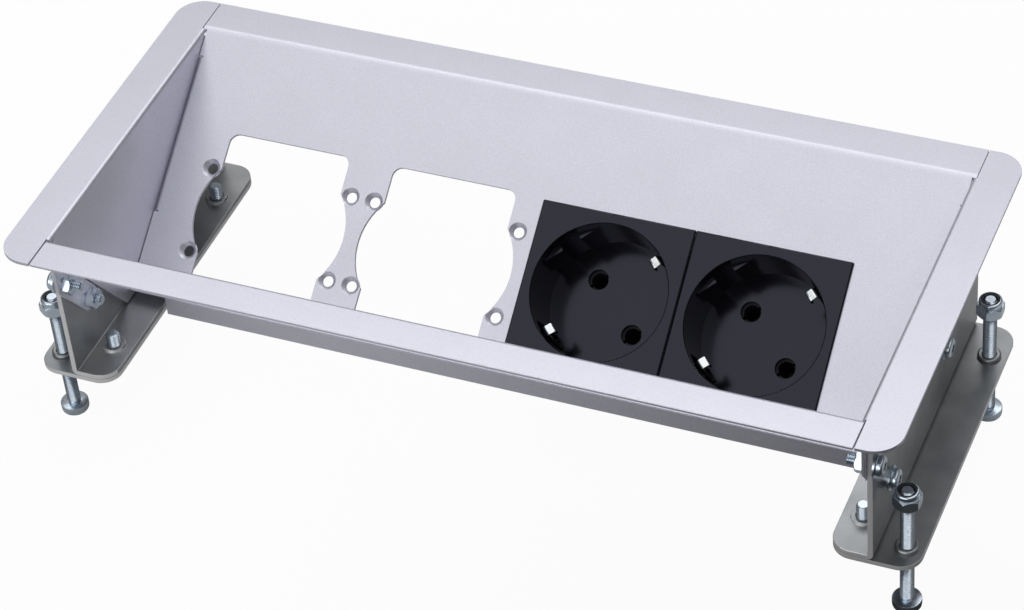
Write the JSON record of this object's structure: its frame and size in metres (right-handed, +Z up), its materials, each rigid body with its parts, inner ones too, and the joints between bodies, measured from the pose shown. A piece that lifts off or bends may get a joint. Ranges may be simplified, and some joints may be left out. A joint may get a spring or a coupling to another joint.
{
  "type": "desk socket box",
  "caption": "Folded sheet metal desk socket box with a flange frame, a sloped faceplate, round earthed sockets, empty connector openings and clamp screws under both ends.",
  "frame": {"origin": "under the middle of the box, on the surface that the screw heads stand on", "axes": "+X along the box towards the sockets' end, +Y to the back, where the faceplate starts, +Z up"},
  "size_m": [0.2574, 0.12, 0.073],
  "materials": {
    "frame_paint": "fine silver powder coat, satin",
    "bracket_steel": "dull grey plated steel",
    "zinc_steel": "bright bluish zinc plate",
    "socket_plastic": "black, satin front and glossy well",
    "housing_plastic": "matte black",
    "spring_steel": "bright spring steel",
    "contact_brass": "plain brass",
    "ring_plastic": "matte black"
  },
  "bodies": {
    "frame": {"faceplate": "frame_paint", "front_rail": "frame_paint", "end_plate_left": "frame_paint", "end_plate_right": "frame_paint", "bracket_left": "bracket_steel", "bracket_right": "bracket_steel", "clamp_plate_left": "bracket_steel", "clamp_plate_right": "bracket_steel", "threaded_bushes": "bracket_steel", "plate_screws": "zinc_steel", "frame_bolts": "zinc_steel", "frame_washers": "zinc_steel", "earth_lock_washers": "zinc_steel", "frame_nuts": "zinc_steel", "socket_face_left": "socket_plastic", "socket_face_right": "socket_plastic", "housing_left": "housing_plastic", "housing_right": "housing_plastic", "earth_clip_left": "spring_steel", "earth_clip_right": "spring_steel", "pin_contacts_left": "contact_brass", "pin_contacts_right": "contact_brass", "terminal_screws": "zinc_steel", "housing_screws": "zinc_steel"},
    "insert_ring_front_left": {"insert_ring_front_left": "ring_plastic"},
    "clamp_screw_front_left": {"clamp_screw_front_left": "zinc_steel", "lock_nut_front_left": "zinc_steel"},
    "insert_ring_rear_left": {"insert_ring_rear_left": "ring_plastic"},
    "clamp_screw_rear_left": {"clamp_screw_rear_left": "zinc_steel", "lock_nut_rear_left": "zinc_steel"},
    "insert_ring_front_right": {"insert_ring_front_right": "ring_plastic"},
    "clamp_screw_front_right": {"clamp_screw_front_right": "zinc_steel", "lock_nut_front_right": "zinc_steel"},
    "insert_ring_rear_right": {"insert_ring_rear_right": "ring_plastic"},
    "clamp_screw_rear_right": {"clamp_screw_rear_right": "zinc_steel", "lock_nut_rear_right": "zinc_steel"}
  },
  "joints": [
    {"name": "screw_lift_front_left", "type": "slide", "parent": "frame", "child": "insert_ring_front_left", "axis": [0, 0, 1], "range_m": [-0.014, 0.016]},
    {"name": "screw_turn_front_left", "type": "hinge", "parent": "insert_ring_front_left", "child": "clamp_screw_front_left", "pos_m": [-0.1239, -0.0415, 0], "axis": [0, 0, 1], "range_deg": [-7200, 8228.57]},
    {"name": "screw_lift_rear_left", "type": "slide", "parent": "frame", "child": "insert_ring_rear_left", "axis": [0, 0, 1], "range_m": [-0.014, 0.016]},
    {"name": "screw_turn_rear_left", "type": "hinge", "parent": "insert_ring_rear_left", "child": "clamp_screw_rear_left", "pos_m": [-0.1239, 0.0344, 0], "axis": [0, 0, 1], "range_deg": [-7200, 8228.57]},
    {"name": "screw_lift_front_right", "type": "slide", "parent": "frame", "child": "insert_ring_front_right", "axis": [0, 0, 1], "range_m": [-0.014, 0.016]},
    {"name": "screw_turn_front_right", "type": "hinge", "parent": "insert_ring_front_right", "child": "clamp_screw_front_right", "pos_m": [0.1239, -0.0415, 0], "axis": [0, 0, 1], "range_deg": [-7200, 8228.57]},
    {"name": "screw_lift_rear_right", "type": "slide", "parent": "frame", "child": "insert_ring_rear_right", "axis": [0, 0, 1], "range_m": [-0.014, 0.016]},
    {"name": "screw_turn_rear_right", "type": "hinge", "parent": "insert_ring_rear_right", "child": "clamp_screw_rear_right", "pos_m": [0.1239, 0.0344, 0], "axis": [0, 0, 1], "range_deg": [-7200, 8228.57]}
  ],
  "couplings": [
    {"joint": "screw_turn_front_left", "follows": "screw_lift_front_left", "rad_per_m": 8976},
    {"joint": "screw_turn_rear_left", "follows": "screw_lift_rear_left", "rad_per_m": 8976},
    {"joint": "screw_turn_front_right", "follows": "screw_lift_front_right", "rad_per_m": 8976},
    {"joint": "screw_turn_rear_right", "follows": "screw_lift_rear_right", "rad_per_m": 8976}
  ]
}
